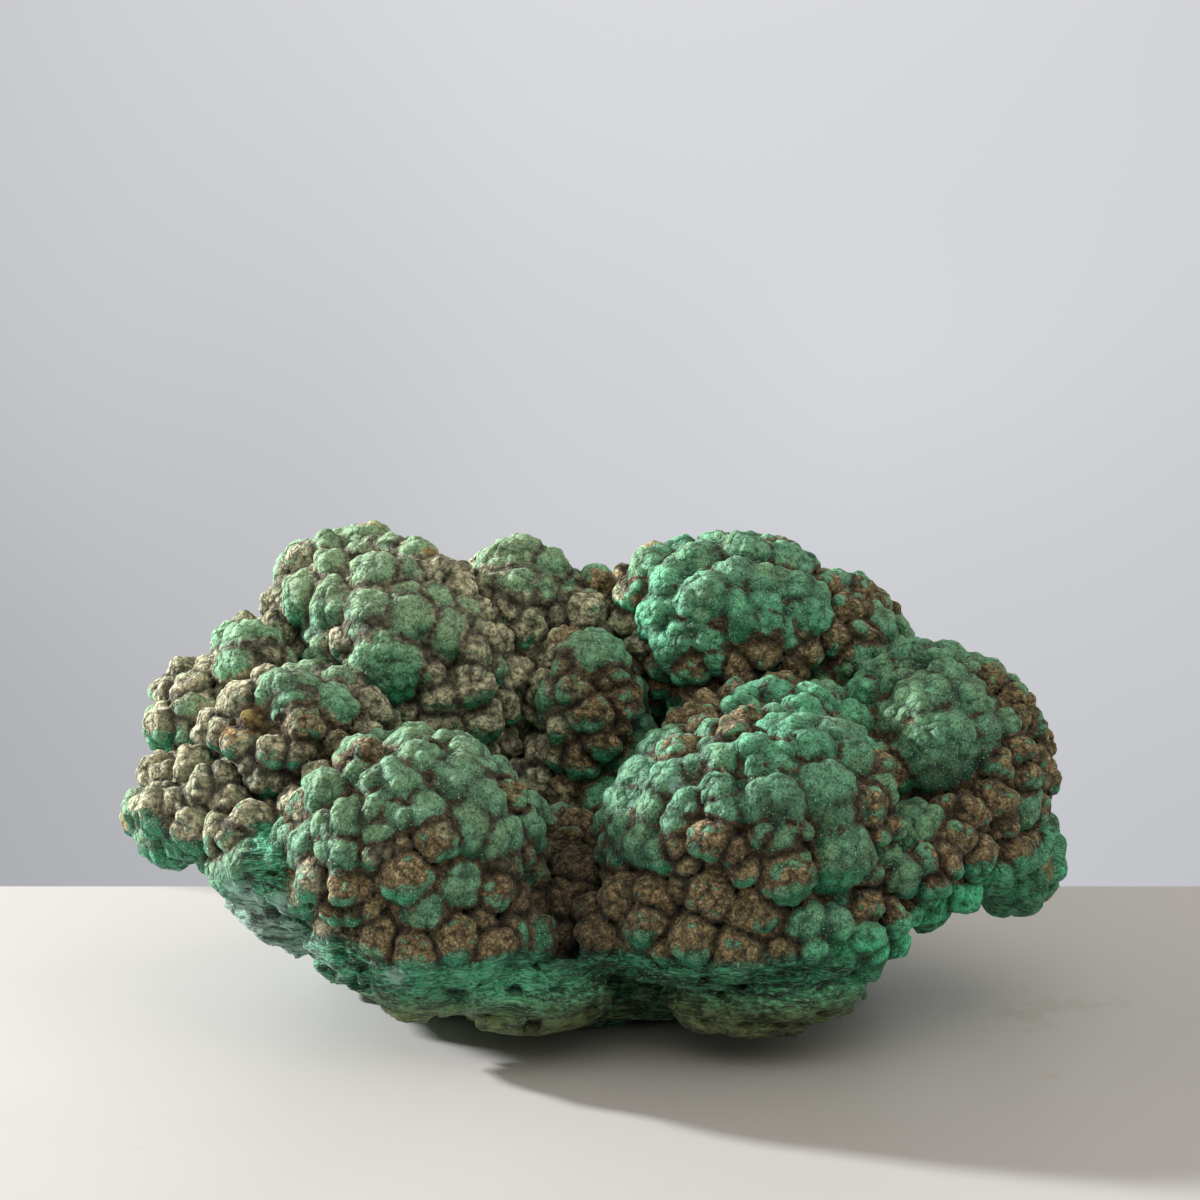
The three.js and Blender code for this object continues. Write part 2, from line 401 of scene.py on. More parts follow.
# %% Choose the seeded heads' finishes
patchwork = noise(head_points, 46, 5) + 0.35 * noise(head_points, 17, 9)
high_up = ramp(head_points[:, 2], 40, 120)
head_finish = np.where(patchwork + 0.12 * high_up > 0.72, GREEN, BROWN)
head_finish = np.where((patchwork > 0.92) & (head_points[:, 0] > -40), TEAL, head_finish)
head_finish = np.where((head_finish == BROWN) & (head_points[:, 0] < -50), GREY, head_finish)
head_finish[:len(placed)] = placed_finish
print({name: int((head_finish == i).sum()) for i, name in enumerate(FINISHES)})

# %% [markdown]
# ## The fibrous skirt
# Low down the crust stops, and the silky, fibrous malachite under it shows: a bright green band that
# is pitted like a sponge. The tip at the right end is made of it too. Heads die out there.

# %% Where the skirt is
def skirt_share(points):
    """0 on the headed crust, 1 on the skirt: low parts, the far right end and the left notch."""
    x, y, z = points[:, 0], points[:, 1], points[:, 2]
    edge = 40 + 12 * ramp(-x, 60, 130) + 14 * (noise(points, 24, 31) - 0.5)
    edge = edge + 30 * ramp(x, 138, 158) + 8 * ramp(y, -30, 20)
    share = 1 - ramp(z, edge - 7, edge + 7)
    notch = np.exp(-(((x + 121) / 9) ** 2 + ((z - 66) / 18) ** 2)) * (y < 0)
    headed = 0.42 * ramp(x, 50, 95) * ramp(z, 22, 34)      # on the right, heads reach lower down
    return np.clip(share + 1.2 * notch, 0, 1) * (1 - headed)


print("the skirt covers", int((skirt_share(head_points) > 0.5).sum()), "of the head places")

# %% [markdown]
# ## Stamping the heads
# The lobes are first thinned by a few millimetres, so that the creases between heads run deep. Space
# is bent a little by noise too, so that no head stamped into it comes out as a true ball.

# %% Thin the lobes and bend the space round them
THIN = 3.2           # millimetres taken off the lobes, except on the skirt
BEND = 3.6           # millimetres that noise moves a sample by, from end to end

near_skin = np.abs(lobe_field) < 12
samples = grid.low + STEP * np.stack(np.nonzero(near_skin), 1)
skirt = np.zeros(grid.shape, np.float32)
skirt[near_skin] = skirt_share(samples)
head_field = lobe_field + THIN * (1 - skirt)

warp = np.zeros((3, *grid.shape), np.float32)
warp[:, near_skin] = [BEND * (noise(samples, 9.5, salt) - 0.5) for salt in (11, 12, 13)]
print("thinned and bent", len(samples), "samples")

# %% [markdown]
# Velvety heads are wide balls sunk by more than half their radius, with soft edges that flow into
# each other. Crusty ones are smaller, stand prouder, and keep a sharper crease between them. The mean
# distance to its three nearest neighbours sets a limit on each ball's radius.

# %% How wide, how deep and how soft each head is
spacing = np.linalg.norm(head_points[:, None] - head_points[None], axis=2)
spacing = np.sort(spacing, axis=1)[:, 1:4].mean(1)      # to the three nearest heads
is_crust = (head_finish == BROWN) | (head_finish == GREY)
wanted = head_radii * np.where(is_crust, 1.10, 1.25)
allowed = np.where(is_crust, 0.83, 1.15) * spacing
balls = np.minimum(wanted, allowed)
sinks = np.where(is_crust, 0.36, 0.59) * balls
soft_edges = np.where(is_crust, 1.3, 2.6)
outward = grid.slope(lobe_field, head_points)
on_skirt = skirt_share(head_points)
print("head radii from", balls.min().round(1), "to", balls.max().round(1), "mm")

# %% [markdown]
# Each head now melts into the field, unless it sits on the skirt, where heads die out. It also
# leaves its finish on a coarser grid around it, strongest at its middle.

# %% Stamp heads and finishes
HEAD_REACH = 9.0     # how far from a head its distance still matters
COAT_STEP = 2.5      # millimetres between the samples that hold finishes

coats = Grid(grid.low, grid.low + STEP * (grid.shape - 1), COAT_STEP)
coat_weight = np.zeros((len(FINISHES) + 1, *coats.shape), np.float32)     # the last is their sum
nearest = np.full(grid.shape, FAR, np.float32)       # distance to the nearest head's ball
second = np.full(grid.shape, FAR, np.float32)        # and to the next one
for point, out, ball, sink, width, finish, silky in zip(head_points, outward, balls, sinks,
                                                        soft_edges, head_finish, on_skirt):
    middle = point - out * (sink + 2.5 * silky)
    if silky < 0.8:
        block, (x, y, z) = grid.near(middle, ball + HEAD_REACH)
        bend = warp[(slice(None), *block)]
        distance = np.sqrt((x + bend[0]) ** 2 + (y + bend[1]) ** 2 + (z + bend[2]) ** 2) - ball
        melt(head_field, block, distance, width)
        second[block] = np.minimum(second[block], np.maximum(nearest[block], distance))
        nearest[block] = np.minimum(nearest[block], distance)
    block, (x, y, z) = coats.near(middle, 2.2 * ball)
    weight = np.maximum(1 - (x * x + y * y + z * z) / (1.9 * ball) ** 2, 0) ** 3
    coat_weight[finish][block] += weight
    coat_weight[-1][block] += weight
head_gap = second - nearest                          # 0 on the border between two heads
print("heads stamped on", int(near_skin.sum()), "samples")

# %% [markdown]
# ## Knobs and pits
# Every head is crowded with knobs about 6 mm apart. Placing thousands one by one would be slow, so
# they are looked up: a lattice keeps at most one knob a cell, and each sample near the skin asks the
# 27 cells round it for the nearest one.

# %% A lattice of knobs
KNOB = 6.2          # millimetres from one knob to the next


def seed_knobs(values, size, salt):
    """A lattice with one knob a cell at most: middle x, y, z and radius, or radius -99 for none.
    Seeds are jittered lattice points near the skin, slid onto it and sunk by a share of a radius."""
    counts = np.ceil((grid.step * grid.shape) / size).astype(int) + 1
    cell = np.stack(np.meshgrid(*(np.arange(n) for n in counts), indexing="ij"), -1).reshape(-1, 3)
    jitter = np.stack([scramble(*cell.T, salt + i) for i in range(3)], 1)
    seed = grid.low + (cell + 0.2 + 0.6 * jitter) * size
    seed = seed[np.abs(grid.read(values, seed)) < 0.55 * size]
    for _ in range(3):
        seed = seed - grid.slope(values, seed) * grid.read(values, seed)[:, None]
    radius = size * (0.50 + 0.20 * noise(seed, 1.7, salt + 5))
    seed = seed - grid.slope(values, seed) * (0.55 * radius)[:, None]
    cell = tuple(np.clip(np.floor((seed - grid.low) / size).astype(int), 0, counts - 1).T)
    lattice = np.full((*counts, 4), -99.0, np.float32)
    lattice[cell] = np.concatenate([seed, radius[:, None]], 1)
    return lattice


def knob_distance(points, lattice, size):
    """Distances to the nearest and the next knob: |point - middle| - radius over 27 cells."""
    points = points.astype(np.float32)
    cell = np.floor((points - grid.low) / size).astype(np.int32)
    least = np.full(len(points), 9.0, np.float32)
    after = least.copy()
    for dx in (-1, 0, 1):
        for dy in (-1, 0, 1):
            for dz in (-1, 0, 1):
                near = np.clip(cell + (dx, dy, dz), 0, np.array(lattice.shape[:3]) - 1)
                knob = lattice[near[:, 0], near[:, 1], near[:, 2]]
                away = points - knob[:, :3]
                gap = np.sqrt((away * away).sum(1)) - knob[:, 3]
                after = np.minimum(after, np.maximum(least, gap))
                least = np.minimum(least, gap)
    return least, after


near_heads = np.abs(head_field) < 4
samples = grid.low + STEP * np.stack(np.nonzero(near_heads), 1)
silky = skirt[near_heads]
crusty = (coats.read(coat_weight[BROWN] + coat_weight[GREY], samples)
          / (coats.read(coat_weight[-1], samples) + 0.01))
patchy = 0.35 + 1.1 * noise(samples, 13, 15)
head_field[near_heads] += ((0.2 + 1.4 * crusty) * patchy * (1 - silky)
                           * (1 - ramp(head_gap[near_heads], 0.0, 2.4)))
lattice = seed_knobs(head_field, KNOB, 21)
print((lattice[..., 3] > 0).sum(), "knobs seeded, and grooves cut between the heads")

# %% [markdown]
# Knobs are melted into the heads over about a millimetre, with a faint groove round each. The skirt
# gets neither: it is layered, pitted and rough, and calmer towards its thin right tip.

# %% Raise the knobs, and roughen the skirt
KNOB_MELT = 1.1      # millimetres over which a knob flows into its head

knob_ball, next_ball = knob_distance(samples, lattice, KNOB)
groove = (0.10 + 0.4 * crusty) * (1 - ramp(next_ball - knob_ball, 0.0, 1.1)) * (1 - silky)
knob_ball = knob_ball + 4 * silky
old = head_field[near_heads]
gap = np.abs(old - knob_ball)
raised = np.minimum(old, knob_ball) - np.maximum(KNOB_MELT - gap, 0) ** 2 / (4 * KNOB_MELT)
flat = samples * np.array([0.45, 0.45, 1.6]) + 3 * noise(samples, 15, 49)[:, None]
layers = noise(flat, 12.0, 51) - 0.5 + 0.6 * (noise(flat, 5.0, 52) - 0.5)
pits = ramp(noise(samples * np.array([0.8, 0.8, 1.3]), 5.6, 61), 0.58, 0.80)
calm = 1 - 0.6 * ramp(samples[:, 0], 125, 150)
rough = silky * calm * (5.0 * layers + 2.4 * (noise(samples, 3.4, 71) - 0.5) - 3.6 * pits
                        + 2.6 * (noise(samples, 17, 73) - 0.5) + 1.4 * bumps(samples, 9, 81))
tiny = 0.5 * (noise(samples, 2.6, 91) - 0.5)
field = head_field.copy()
field[near_heads] = raised + groove - rough - tiny
print("knobs and pits on", len(samples), "samples")

# %% [markdown]
# ## The flat under the block
# The block rests where its underside meets the ground: everything under the ground plane is cut off.

# %% Cut the rest flat
height = grid.axes[2].astype(np.float32)
field = np.maximum(field, -height[None, None, :])
print("solid after the cut:", round((field < 0).sum() * STEP ** 3 / 1e6, 2), "litres")

# %% [markdown]
# ## One skin round the field
# Marching cubes is the common way to turn a field into a mesh. Surface nets, used here, is shorter
# and gives rounder results: each grid cell that the skin crosses gets one point, at the mean of the
# places where its edges are crossed, and each crossed grid edge gets one four-sided face.

# %% Wrap the skin
def surface_net(values):
    """Points (in grid steps) and four-sided faces of the skin where the values change sign."""
    inside = values < 0
    count = sum(inside[i:i - 1 or None, j:j - 1 or None, k:k - 1 or None].astype(np.int8)
                for i in (0, 1) for j in (0, 1) for k in (0, 1))
    cells = np.stack(np.nonzero((count > 0) & (count < 8)), 1)
    number = np.full(count.shape, -1, np.int32)
    number[tuple(cells.T)] = np.arange(len(cells))
    corners = [(i, j, k) for i in (0, 1) for j in (0, 1) for k in (0, 1)]
    at = {c: values[tuple((cells + c).T)] for c in corners}
    total, crossed = np.zeros((len(cells), 3)), np.zeros(len(cells))
    for a in corners:
        for axis in range(3):
            if a[axis] == 0:
                b = tuple(1 if i == axis else a[i] for i in range(3))
                cut = (at[a] < 0) != (at[b] < 0)
                t = np.where(cut, at[a] / np.where(cut, at[a] - at[b], 1), 0)
                spot = np.array(a, float) + t[:, None] * (np.array(b) - np.array(a))
                total += spot * cut[:, None]
                crossed += cut
    points = cells + total / crossed[:, None]
    faces = []
    for axis in range(3):
        u, v = (axis + 1) % 3, (axis + 2) % 3
        lower = np.take(inside, np.arange(inside.shape[axis] - 1), axis)
        upper = np.take(inside, np.arange(1, inside.shape[axis]), axis)
        edge = np.stack(np.nonzero(lower != upper), 1)
        edge = edge[(edge[:, u] > 0) & (edge[:, v] > 0)
                    & (edge[:, u] < count.shape[u]) & (edge[:, v] < count.shape[v])]
        leaving = lower[tuple(edge.T)]
        ring = []
        for du, dv in ((1, 1), (0, 1), (0, 0), (1, 0)):
            cell = edge.copy()
            cell[:, u] -= du
            cell[:, v] -= dv
            ring.append(number[tuple(cell.T)])
        ring = np.stack(ring, 1)
        faces.append(np.where(leaving[:, None], ring, ring[:, ::-1]))
    return points, np.concatenate(faces)


def largest_piece(count, faces):
    """Spreads the smallest point number over joined faces until it settles: one number a piece."""
    label = np.arange(count)
    while True:
        least = label[faces].min(1)
        new = label.copy()
        np.minimum.at(new, faces.ravel(), np.repeat(least, 4))
        new = new[new]
        if (new == label).all():
            break
        label = new
    return label == np.bincount(label).argmax()


points, faces = surface_net(field)
keep = largest_piece(len(points), faces)
faces = faces[keep[faces[:, 0]]]
renumber = np.cumsum(keep) - 1
points, faces = grid.low + STEP * points[keep], renumber[faces]
print(len(points), "points,", len(faces), "faces,", int((~keep).sum()), "stray points dropped")

# %% [markdown]
# ## The mesh, thinned to what it needs
# A flat patch doesn't need as many faces as a crease. Blender's Decimate modifier merges the points
# that matter least, and keeps the creases.

# %% Make the mesh
TRIANGLES = 194_000


def to_mesh(name, points, faces):
    """Fills a mesh from whole arrays: points in metres, and the four corners of each face."""
    mesh = bpy.data.meshes.new(name)
    mesh.vertices.add(len(points))
    mesh.vertices.foreach_set("co", np.asarray(points, np.float32).ravel())
    mesh.loops.add(faces.size)
    mesh.loops.foreach_set("vertex_index", faces.astype(np.int32).ravel())
    mesh.polygons.add(len(faces))
    mesh.polygons.foreach_set("loop_start", np.arange(len(faces), dtype=np.int32) * faces.shape[1])
    mesh.update(calc_edges=True)
    mesh.validate()
    return mesh


raw = bpy.data.objects.new("raw_skin", to_mesh("raw_skin", (points - MIDDLE) / 1000, faces))
bpy.context.scene.collection.objects.link(raw)
thinner = raw.modifiers.new("thin", "DECIMATE")
thinner.ratio = TRIANGLES / (2 * len(faces))
thinner.use_collapse_triangulate = True
view_layer = bpy.context.evaluated_depsgraph_get()
skin = bpy.data.meshes.new_from_object(raw.evaluated_get(view_layer))
skin.name = "malachite_block"
bpy.data.objects.remove(raw)
specimen = bpy.data.objects.new("malachite_block", skin)
bpy.context.scene.collection.objects.link(specimen)
skin.polygons.foreach_set("use_smooth", np.ones(len(skin.polygons), bool))
skin.update()
print(len(skin.polygons), "triangles left")

# %% [markdown]
# ## Notes on the skin
# Every point of the skin now asks the grids what grew there. The mean distance over a small cube
# round a point is high on a top and low in a crease, since more of the cube is solid there; three
# cube sizes tell knobs, heads and lobes apart. The material reads these notes as attributes.

# %% Read the grids at the skin
co = np.empty(len(skin.vertices) * 3, np.float32)
skin.vertices.foreach_get("co", co)
spots = co.reshape(-1, 3) * 1000 + MIDDLE
normals = np.empty(len(skin.vertices) * 3, np.float32)
skin.vertices.foreach_get("normal", normals)
normals = normals.reshape(-1, 3)


def note(name, values):
    """Stores one number a point on the mesh, under a name that the material can read."""
    attribute = skin.attributes.new(name, "FLOAT", "POINT")
    attribute.data.foreach_set("value", np.asarray(values, np.float32))
    print(f"{name:12s} from {values.min():.2f} to {values.max():.2f}, mean {values.mean():.2f}")


def blurred(values, reach):
    """Mean over a cube: running totals along each axis, then their change over 2 reach samples."""
    n = max(int(round(reach / STEP)), 1)
    for axis in range(3):
        padded = np.pad(values, [(n + 1, n) if a == axis else (0, 0) for a in range(3)], mode="edge")
        total = np.cumsum(padded, axis, dtype=np.float64)
        length = values.shape[axis]
        values = ((np.take(total, np.arange(length) + 2 * n + 1, axis)
                   - np.take(total, np.arange(length), axis)) / (2 * n + 1)).astype(np.float32)
    return values


DEEP = 9             # millimetres from the skin beyond which all is equally solid or empty
soft = np.clip(field, -DEEP, DEEP)
for name, reach in (("knob_top", 2.5), ("head_top", 5.5), ("lobe_top", 15.0)):
    mean = grid.read(blurred(soft, reach), spots)
    steps = np.percentile(mean, [3, 97])
    note(name, np.clip((mean - steps[0]) / (steps[1] - steps[0]), 0, 1))
note("head_gap", np.clip(grid.read(head_gap, spots), 0, 6))
knob_ball, next_ball = knob_distance(spots, lattice, KNOB)
note("knob_gap", np.clip(next_ball - knob_ball, 0, 3))
shares = [coats.read(layer, spots) for layer in coat_weight]
for i, finish in enumerate(FINISHES):
    note(finish, np.clip(shares[i] / (shares[-1] + 0.02), 0, 1))
silky = skirt_share(spots)
note("skirt", silky)

# %% [markdown]
# A model that carries its colours as one picture needs a place on that picture for each corner of a
# face. A round block can be unfolded as an octahedron is: its upper half fills the middle of the
# square, and its lower half folds out over the four corners.

# %% A picture map: the skin seen from its heart, unfolded as an octahedron
def unfold(skin, points, heart):
    """Octahedral map: direction / (|x| + |y| + |z|); the lower half folds out over the corners,
    each face wholly into the corner that its own middle belongs to."""
    corner = np.empty(len(skin.loops), np.int32)
    skin.loops.foreach_get("vertex_index", corner)
    way = (points - heart)[corner].reshape(-1, 3, 3)
    way /= np.abs(way).sum(2, keepdims=True)
    middle = way.mean(1, keepdims=True)
    sign = np.where(middle[..., :2] < 0, -1.0, 1.0)
    folded = sign * (1 - sign[..., ::-1] * way[..., [1, 0]])
    flat = np.where(middle[..., 2:] < 0, folded, way[..., :2])
    flat = np.clip(0.5 + 0.47 * flat, 0.0, 1.0)
    layer = skin.uv_layers.new(name="OFBake")
    layer.data.foreach_set("uv", flat.reshape(-1).astype(np.float32))


HEART = np.array([2.0, 8.0, 62.0])     # a point deep inside, which sees most of the skin
unfold(skin, spots, HEART)
print("unfolded", len(skin.loops), "corners")

# %% [markdown]
# A few small patches are too particular for noise: pale bloom, rust, and the brightest silk. They
# are marked one by one, seen from the eye as the heads are, and fade out from their middles.

# %% Marks given one by one: (right, above, radius) of small patches
PATCHES = {
    "pale": [(-137, -112, 11), (-121, -117, 7), (-78, -144, 5), (92, -112, 3), (-85, -38, 5),
             (164, -85, 4), (30, -72, 5), (21, 0, 4)],
    "rust": [(-137, -48, 8), (-141, -54, 7), (-132, -44, 5), (42, -101, 3), (-88, 29, 9),
             (-66, 16, 8), (20, 21, 7), (172, -103, 7), (175, -116, 4), (-181, -84, 7)],
    "bright": [(-121, -90, 10), (-124, -80, 8), (150, -100, 14), (160, -92, 10), (-47, -142, 14),
               (-20, -143, 12), (-70, -140, 8), (104, -150, 12), (-164, -36, 4), (26, -2, 6)],
}
for name, marks in PATCHES.items():
    marks = np.array(marks, float)
    total = np.zeros(len(spots))
    for middle, radius in zip(on_skin(marks[:, :2]), marks[:, 2]):
        total += np.exp(-((spots - middle) ** 2).sum(1) / (0.9 * radius) ** 2)
    note(name, np.clip(total, 0, 1))

# %% [markdown]
# Other changes of finish belong to whole regions: dust settles on tops, the shaded undersides stay
# green, and the right foot is the clearest green of all. Painted light brightens the top of the back
# row and the silk of the right tip, and painted shade darkens the cleft in front. Each region is a
# product of ramps along the axes, so that it fades out on every side.

# %% Regions of the block
right, back, top = spots.T
lean = grid.slope(blurred(np.clip(head_field, -DEEP, DEEP), 2.5), spots)[:, 2]
note("under", ramp(-lean, -0.15, 0.75))
note("upward", ramp(lean, -0.4, 0.8))
note("dusty", ramp(18 - right, 0, 60) * ramp(top, 35, 95) * (0.35 + 0.65 * ramp(back, -50, -5)))
# Painted light: the top of the back row is painted brighter.
note("faded", ramp(back, -25, 40) * ramp(top, 80, 120) * ramp(-back, -95, -65))
# The cleft is a recess: crust fills it, and it is painted darker as painted shade.
note("cleft", np.exp(-((right + 8) / 17) ** 2) * ramp(-back, 15, 45)
     * ramp(top, 26, 38) * (1 - ramp(top, 72, 90)))
tip_rise = 14 * ramp(right, 110, 150)      # the clear green climbs towards the right tip
note("emerald", ramp(right, 62, 100) * (1 - ramp(top - tip_rise, 42, 58)) * ramp(-back, -60, -20))
note("olive", ramp(-top, -34, -16) * ramp(-back - 8 * normals[:, 2], 40, 75))
# Painted light: the silk of the right tip is painted brighter.
note("gleam", ramp(right, 118, 158) * silky)
note("foot_left", ramp(-right, 95, 120) * ramp(-top, -62, -44) * silky)

# %% [markdown]
# ## Formulas as nodes
# A shader is a formula, and drawing formulas as node chains is slow. The Wire class below wraps one
# output of a node, and its arithmetic adds Math nodes, so the formulas read as they would on paper.

# %% Wires and formulas
class Wire:
    """One output of a node: + - * and powers on it add Math nodes."""

    def __init__(self, formula, socket):
        self.formula, self.socket = formula, socket

    def math(self, operation, first, second=0.0):
        return self.formula.add("ShaderNodeMath", {"operation": operation}, {0: first, 1: second})

    def __add__(self, other):
        return self.math("ADD", self, other)

    def __sub__(self, other):
        return self.math("SUBTRACT", self, other)

    def __rsub__(self, other):
        return self.math("SUBTRACT", other, self)

    def __mul__(self, other):
        return self.math("MULTIPLY", self, other)

    def __pow__(self, other):
        return self.math("POWER", self, other)

    def most(self, other):
        return self.math("MAXIMUM", self, other)

    __radd__, __rmul__ = __add__, __mul__


class Formula:
    """A node tree being written: add() makes any node from its type, settings and sockets."""

    def __init__(self, owner, shader):
        owner.use_nodes = True
        self.tree = owner.node_tree
        self.shader = self.tree.nodes[shader]

    def put(self, socket, value):
        if isinstance(value, Wire):
            self.tree.links.new(value.socket, socket)
        elif hasattr(socket.default_value, "__len__") and not hasattr(value, "__len__"):
            socket.default_value = (value,) * len(socket.default_value)
        else:
            socket.default_value = value

    def add(self, kind, settings=None, sockets=None, out=0):
        node = self.tree.nodes.new(kind)
        for key, value in (settings or {}).items():
            setattr(node, key, value)
        for key, value in (sockets or {}).items():
            self.put(node.inputs[key], value)
        return Wire(self, node.outputs[out])

    def note(self, name):
        return self.add("ShaderNodeAttribute", {"attribute_name": name}, {}, "Fac")

    def stretch(self, place, scale):
        """The place with each axis multiplied by its own number."""
        return self.add("ShaderNodeVectorMath", {"operation": "MULTIPLY"}, {0: place, 1: scale})

    def noise(self, place, size, detail=2.0, rough=0.55):
        """Fractal noise from about 0 to 1, with blobs of the given size in millimetres."""
        return self.add("ShaderNodeTexNoise", {}, {"Vector": place, "Scale": 1 / size,
                                                   "Detail": detail, "Roughness": rough}, "Fac")

    def cells(self, place, size, out="Distance"):
        """Distance to the nearest cell point, in cells of the given size in millimetres."""
        return self.add("ShaderNodeTexVoronoi", {}, {"Vector": place, "Scale": 1 / size}, out)

    def ramp(self, value, start, end):
        """Smooth step: 0 before start, 1 after end."""
        return self.add("ShaderNodeMapRange", {"interpolation_type": "SMOOTHSTEP"},
                        {"Value": value, "From Min": start, "From Max": end})

    def mix(self, share, first, second, blend="MIX"):
        """Colours: first where share is 0, second where it is 1."""
        return self.add("ShaderNodeMix", {"data_type": "RGBA", "blend_type": blend},
                        {0: share, 6: first, 7: second}, 2)


def paint(red, green, blue):
    """A paint-chart colour, 0 to 255, as the linear light the shader mixes."""
    parts = [c / 255 for c in (red, green, blue)]
    return [p / 12.92 if p <= 0.04045 else ((p + 0.055) / 1.055) ** 2.4 for p in parts] + [1.0]


print("mid green as linear light:", [round(part, 3) for part in paint(22, 82, 58)[:3]])

# %% [markdown]
# ## The stone's finish
# Green malachite here is velvety, with needles too fine to see that catch the light as tiny sparks.
# Brown and grey crust caps many heads and fills the creases. The skirt is silky and streaked. All
# three are coloured by the notes, broken up by noise so that no border is smooth.

# %% Patterns of many sizes, in millimetres
malachite = bpy.data.materials.new("malachite")
stone = Formula(malachite, "Principled BSDF")
metres = stone.add("ShaderNodeTexCoord", {}, {}, "Object")
place = stone.add("ShaderNodeVectorMath", {"operation": "SCALE"}, {0: metres, "Scale": 1000.0})
grain = stone.noise(place, 0.9, 2.0, 0.7)
speck = stone.noise(place, 2.6, 3.0, 0.6)
blotch = stone.noise(place, 8.0, 3.0)
broad = stone.noise(place, 34.0, 2.0)
bent = stone.add("ShaderNodeVectorMath", {"operation": "MULTIPLY_ADD"},
                 {0: stone.add("ShaderNodeTexNoise", {}, {"Vector": place, "Scale": 1 / 3.5},
                               "Color"),
                  1: (2.6, 2.6, 2.6), 2: place})
bead = stone.cells(place, 0.95)
granule = stone.cells(bent, 2.7)
knob = stone.cells(bent, 5.4)
tint = stone.cells(place, 1.05, "Color")
luck = stone.add("ShaderNodeSeparateColor", {}, {0: tint}, 0)     # one number for each tiny cell
print("patterns take", len(stone.tree.nodes), "nodes")

# %% [markdown]
# Crust gathers where the notes say brown or grey, in creases and on dusty tops, and keeps off tops of
# heads, undersides and the clear green foot. Adding noise to the sum before the ramp frays its edge.

# %% Which finish shows where
knob_top, head_top, lobe_top = (stone.note(n) for n in ("knob_top", "head_top", "lobe_top"))
grey_share, under, upward, dusty = (stone.note(n) for n in ("grey", "under", "upward", "dusty"))
faded, cleft, emerald = (stone.note(n) for n in ("faded", "cleft", "emerald"))
head_crease = stone.ramp(stone.note("head_gap"), 3.4, 0.3)
knob_crease = stone.ramp(stone.note("knob_gap"), 1.5, 0.1)
crust_share = stone.note("brown") + grey_share
uneven = 1.8 * (blotch - 0.5) + 1.5 * (speck - 0.5) + 0.6 * (grain - 0.5)
crust_sum = (1.25 * crust_share - 0.42 + 0.6 * (0.45 - head_top) + 0.5 * (0.45 - lobe_top)
             + 0.50 * head_crease + 0.10 * knob_crease - 1.2 * under * (1 - cleft)
             + 0.9 * cleft - 1.3 * emerald + 0.45 * dusty * upward + uneven)
crust = stone.ramp(crust_sum, -0.02, 0.14)
skirt_sum = stone.note("skirt") + 1.2 * (blotch - 0.5) + 0.8 * (speck - 0.5)
skirt_here = stone.ramp(skirt_sum, 0.35, 0.65)
print("shares take the count to", len(stone.tree.nodes), "nodes")

# %% [markdown]
# Velvet is painted deep green in the hollows and pale on the crowns and upward faces: painted shade
# and painted light. Teal heads, glowing undersides and the clear green foot each shift it, and tiny
# beads dot it, with painted light on their middles and painted shade in their rims.

# %% Velvet green
# Painted shade and painted light: dark in hollows, pale on crowns and on faces that look up.
painted_crown_light_sum = 0.45 * head_top + 0.45 * knob_top + 0.2 * upward + 0.8 * (blotch - 0.5)
painted_crown_light = stone.ramp(painted_crown_light_sum, 0.32, 0.88)
velvet = stone.mix(painted_crown_light, paint(22, 82, 58), paint(92, 146, 112))
velvet = stone.mix(stone.ramp(broad + 0.5 * (blotch - 0.5), 0.46, 0.60) * 0.45, velvet,
                   stone.mix(painted_crown_light, paint(40, 76, 44), paint(108, 136, 92)))
teal = stone.mix(painted_crown_light, paint(16, 98, 68), paint(86, 166, 124))
velvet = stone.mix(stone.note("teal") * 0.85, velvet, teal)
glow = stone.ramp(under + 0.8 * (blotch - 0.5), 0.35, 0.80)
velvet = stone.mix(glow * 0.75, velvet, paint(26, 138, 98))
velvet = stone.mix(emerald * 0.9, velvet, stone.mix(painted_crown_light, paint(12, 116, 78), paint(78, 208, 150)))
velvet = stone.mix(dusty * upward * 0.5, velvet, paint(148, 162, 124))
# Painted light on the middles of tiny beads, then painted shade in their rims.
velvet = stone.mix(stone.ramp(bead, 0.40, 0.16) * 0.40, velvet, paint(138, 180, 146))
velvet = stone.mix(stone.ramp(bead, 0.50, 0.85) * 0.60, velvet, paint(14, 48, 32))
print("velvet takes the count to", len(stone.tree.nodes), "nodes")

# %% [markdown]
# The crust is two earthy colours, brown and grey, each mottled with a greener one. Pale beads with
# dark rims, about a millimetre wide, make it look like packed grains of sand: painted light on the
# grains' tips and painted shade in the gaps between them.

# %% Brown and grey crust
brown = stone.mix(stone.ramp(speck, 0.40, 0.60), paint(102, 88, 58), paint(140, 119, 82))
brown = stone.mix(stone.ramp(blotch, 0.5, 0.62) * 0.5, brown, paint(116, 112, 74))
grey = stone.mix(stone.ramp(speck, 0.40, 0.60), paint(148, 148, 120), paint(190, 186, 156))
grey = stone.mix(stone.ramp(blotch, 0.5, 0.62) * 0.5, grey, paint(124, 150, 114))
pale_crust = stone.ramp(grey_share.most(dusty * 0.9) + 1.2 * (blotch - 0.5), 0.3, 0.6)
crust_paint = stone.mix(pale_crust, brown, grey)
# Painted light on the tips of the grains.
crust_paint = stone.mix(stone.ramp(bead, 0.46, 0.20) * 0.30, crust_paint, paint(206, 192, 160))
crust_paint = stone.mix(stone.ramp(luck, 0.72, 0.95) * 0.35, crust_paint, paint(206, 188, 156))
# Painted shade in the gaps between the grains.
crust_paint = stone.mix(stone.ramp(bead, 0.50, 0.95) * 0.60, crust_paint, paint(40, 32, 20))
print("crust takes the count to", len(stone.tree.nodes), "nodes")

# %% [markdown]
# Silk is noise stretched level, then bent by a broader noise so that the streaks swerve. The streaks
# carry fine strands, olive near the ground in front and lacy white-green at the left of the foot.

